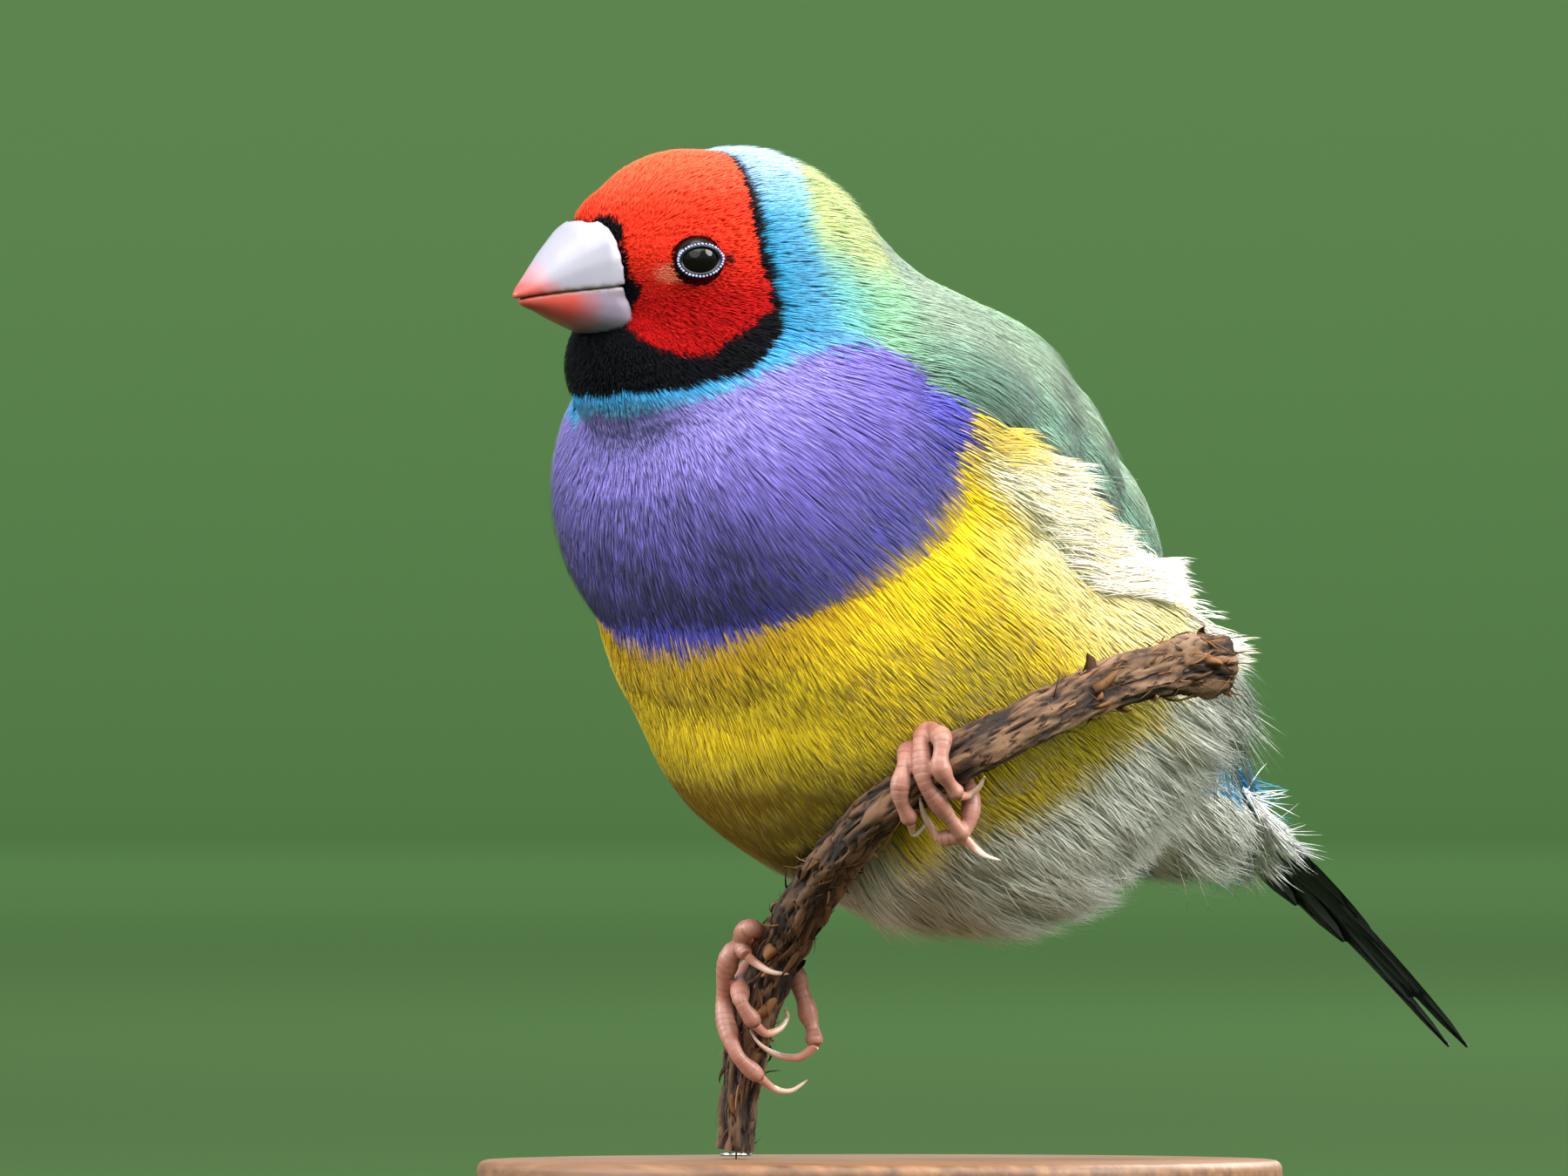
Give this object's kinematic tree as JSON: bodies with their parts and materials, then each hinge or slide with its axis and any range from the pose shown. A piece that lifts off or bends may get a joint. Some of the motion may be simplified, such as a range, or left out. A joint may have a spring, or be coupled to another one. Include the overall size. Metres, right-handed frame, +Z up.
{
  "type": "gouldian finch",
  "caption": "Life-size still model of a fluffed gouldian finch with scarlet face, violet breast and yellow belly, gripping a bent twig on a round display base.",
  "frame": {"origin": "centre of the display base's underside", "axes": "+Z up, -Y the way the bird's breast faces, +X the bird's left side"},
  "size_m": [0.074, 0.1186, 0.0978],
  "materials": {
    "scarlet_plumage": "scarlet face feathers",
    "sky_plumage": "turquoise collar feathers",
    "violet_plumage": "violet breast and yellow belly feathers",
    "green_plumage": "green wing feathers",
    "black_plumage": "black tail feathers",
    "ivory_bill": "smooth horn of the bill",
    "dark_eye": "wet dark eye",
    "leg_skin": "scaled skin of the feet",
    "claw_horn": "horn of the claws",
    "bark": "flaking bark",
    "waxed_wood": "waxed turned wood",
    "brushed_steel": "brushed steel pin"
  },
  "bodies": {
    "root": {"head": "scarlet_plumage", "neck": "sky_plumage", "torso": "violet_plumage", "wing_left": "green_plumage", "wing_right": "green_plumage", "tail": "black_plumage", "bill_upper": "ivory_bill", "bill_lower": "ivory_bill", "eye_left": "dark_eye", "eye_right": "dark_eye", "leg_left": "leg_skin", "leg_right": "leg_skin", "claw_left_inner": "claw_horn", "claw_left_middle": "claw_horn", "claw_left_outer": "claw_horn", "claw_left_hind": "claw_horn", "claw_right_inner": "claw_horn", "claw_right_middle": "claw_horn", "claw_right_outer": "claw_horn", "claw_right_hind": "claw_horn", "perch": "bark", "stand_base": "waxed_wood", "stand_rod": "brushed_steel"}
  },
  "joints": []
}
